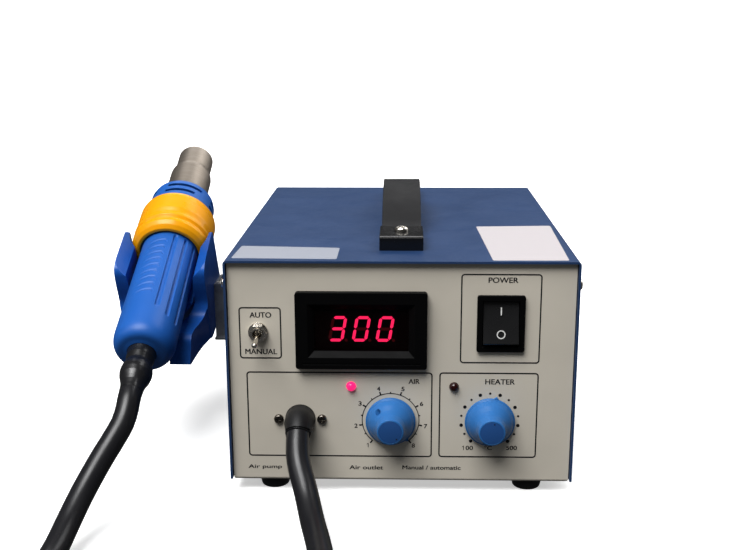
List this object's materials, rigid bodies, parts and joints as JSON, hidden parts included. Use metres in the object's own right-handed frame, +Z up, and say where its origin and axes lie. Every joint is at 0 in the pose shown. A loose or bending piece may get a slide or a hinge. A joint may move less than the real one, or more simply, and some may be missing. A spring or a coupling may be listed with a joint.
{
  "type": "hot air rework station",
  "caption": "Cased hot air rework station with display, dials and switches on the front, a carry strap, and a hose-fed handpiece resting in a side cradle.",
  "frame": {"origin": "on the bench, under the middle of the box round the station without its hose", "axes": "+X to the right as seen from the front panel, +Y from the front panel to the back, +Z up"},
  "size_m": [0.2822, 0.5158, 0.169],
  "materials": {
    "cover_paint": "semi-gloss blue powder coat",
    "panel_paint": "satin beige coat",
    "bright_steel": "bright nickel plate",
    "dark_steel": "black oxide",
    "plate_steel": "zinc plate",
    "rubber_black": "moulded rubber",
    "strap_vinyl": "moulded vinyl",
    "cap_plastic": "moulded",
    "black_plastic": "moulded",
    "switch_plastic": "moulded",
    "window_acrylic": "tinted acrylic",
    "digit_block": "moulded block on a board",
    "knob_plastic": "moulded",
    "lamp_lit": "clear tinted epoxy",
    "lamp_dark": "clear tinted epoxy",
    "hose_silicone": "silicone tube",
    "control_metal": "stamped",
    "shaft_metal": "turned",
    "pump_steel": "zinc plate",
    "lamination": "laminated sheet",
    "copper_coil": "enamelled wire",
    "magnet_steel": "plated",
    "head_plastic": "moulded",
    "clear_tube": "silicone tube",
    "coil_tape": "taped winding",
    "board_green": "solder mask",
    "post_brass": "turned",
    "sink_aluminium": "extruded",
    "bracket_steel": "zinc plate",
    "cradle_plastic": "moulded",
    "barrel_plastic": "moulded",
    "ring_plastic": "moulded",
    "tube_steel": "heat-tinted stainless",
    "mica": "sheet mica",
    "ceramic": "fired ceramic"
  },
  "bodies": {
    "station": {"cover": "cover_paint", "tray": "panel_paint", "cover_screws": "bright_steel", "feet": "rubber_black", "foot_screws": "plate_steel", "carry_strap": "strap_vinyl", "strap_caps": "cap_plastic", "strap_screws": "bright_steel", "display_bezel": "black_plastic", "display_window": "window_acrylic", "display_module": "digit_block", "power_switch_body": "black_plastic", "toggle_body": "control_metal", "toggle_nut": "bright_steel", "dial_controls": "control_metal", "dial_nuts": "plate_steel", "air_lamp": "lamp_lit", "heater_lamp": "lamp_dark", "outlet_sleeve": "rubber_black", "outlet_screws_pair": "dark_steel", "hose_outlet_run": "hose_silicone", "hose_coil": "hose_silicone", "hose_handpiece_run": "hose_silicone", "mains_inlet": "black_plastic", "fuse_holder": "black_plastic", "rear_screws": "bright_steel", "pump_mounts": "rubber_black", "pump_frame": "pump_steel", "pump_core": "lamination", "pump_coils": "copper_coil", "pump_diaphragms": "rubber_black", "pump_heads": "head_plastic", "pump_tube": "clear_tube", "transformer_core": "lamination", "transformer_coil": "coil_tape", "control_board": "board_green", "board_posts": "post_brass", "heat_sink": "sink_aluminium", "bracket": "bracket_steel", "bracket_screws": "bright_steel", "cradle": "cradle_plastic", "cradle_magnet": "magnet_steel"},
    "power_rocker": {"power_rocker": "switch_plastic"},
    "toggle_lever": {"toggle_lever": "bright_steel"},
    "air_dial": {"air_knob": "knob_plastic", "air_shaft": "shaft_metal"},
    "heater_dial": {"heater_knob": "knob_plastic", "heater_shaft": "shaft_metal"},
    "pump_armature": {"pump_armature": "magnet_steel"},
    "handpiece": {"barrel": "barrel_plastic", "grip_ring": "ring_plastic", "vent_collar": "barrel_plastic", "heater_tube": "tube_steel", "heat_shield": "mica", "heater_core": "ceramic", "reed_board": "board_green", "hose_boot": "rubber_black"}
  },
  "joints": [
    {"name": "power_rocker_tip", "type": "hinge", "parent": "station", "child": "power_rocker", "pos_m": [0.0908, -0.10954, 0.0983], "axis": [1, 0, 0], "range_deg": [0, 22]},
    {"name": "toggle_flip", "type": "hinge", "parent": "station", "child": "toggle_lever", "pos_m": [-0.0387, -0.11324, 0.0929], "axis": [-1, 0, 0], "range_deg": [0, 26]},
    {"name": "air_dial_turn", "type": "hinge", "parent": "station", "child": "air_dial", "pos_m": [0.0323, -0.12024, 0.0428], "axis": [0, 1, 0], "range_deg": [-279, 1]},
    {"name": "heater_dial_turn", "type": "hinge", "parent": "station", "child": "heater_dial", "pos_m": [0.0862, -0.12024, 0.0428], "axis": [0, 1, 0], "range_deg": [-154, 126]},
    {"name": "armature_shake", "type": "slide", "parent": "station", "child": "pump_armature", "axis": [0, 1, 0], "range_m": [-0.0012, 0.0012], "stiffness_N_per_m": 15000},
    {"name": "handpiece_lift", "type": "slide", "parent": "station", "child": "handpiece", "axis": [0, -0.4305, 0.9026], "range_m": [0, 0.06]}
  ]
}
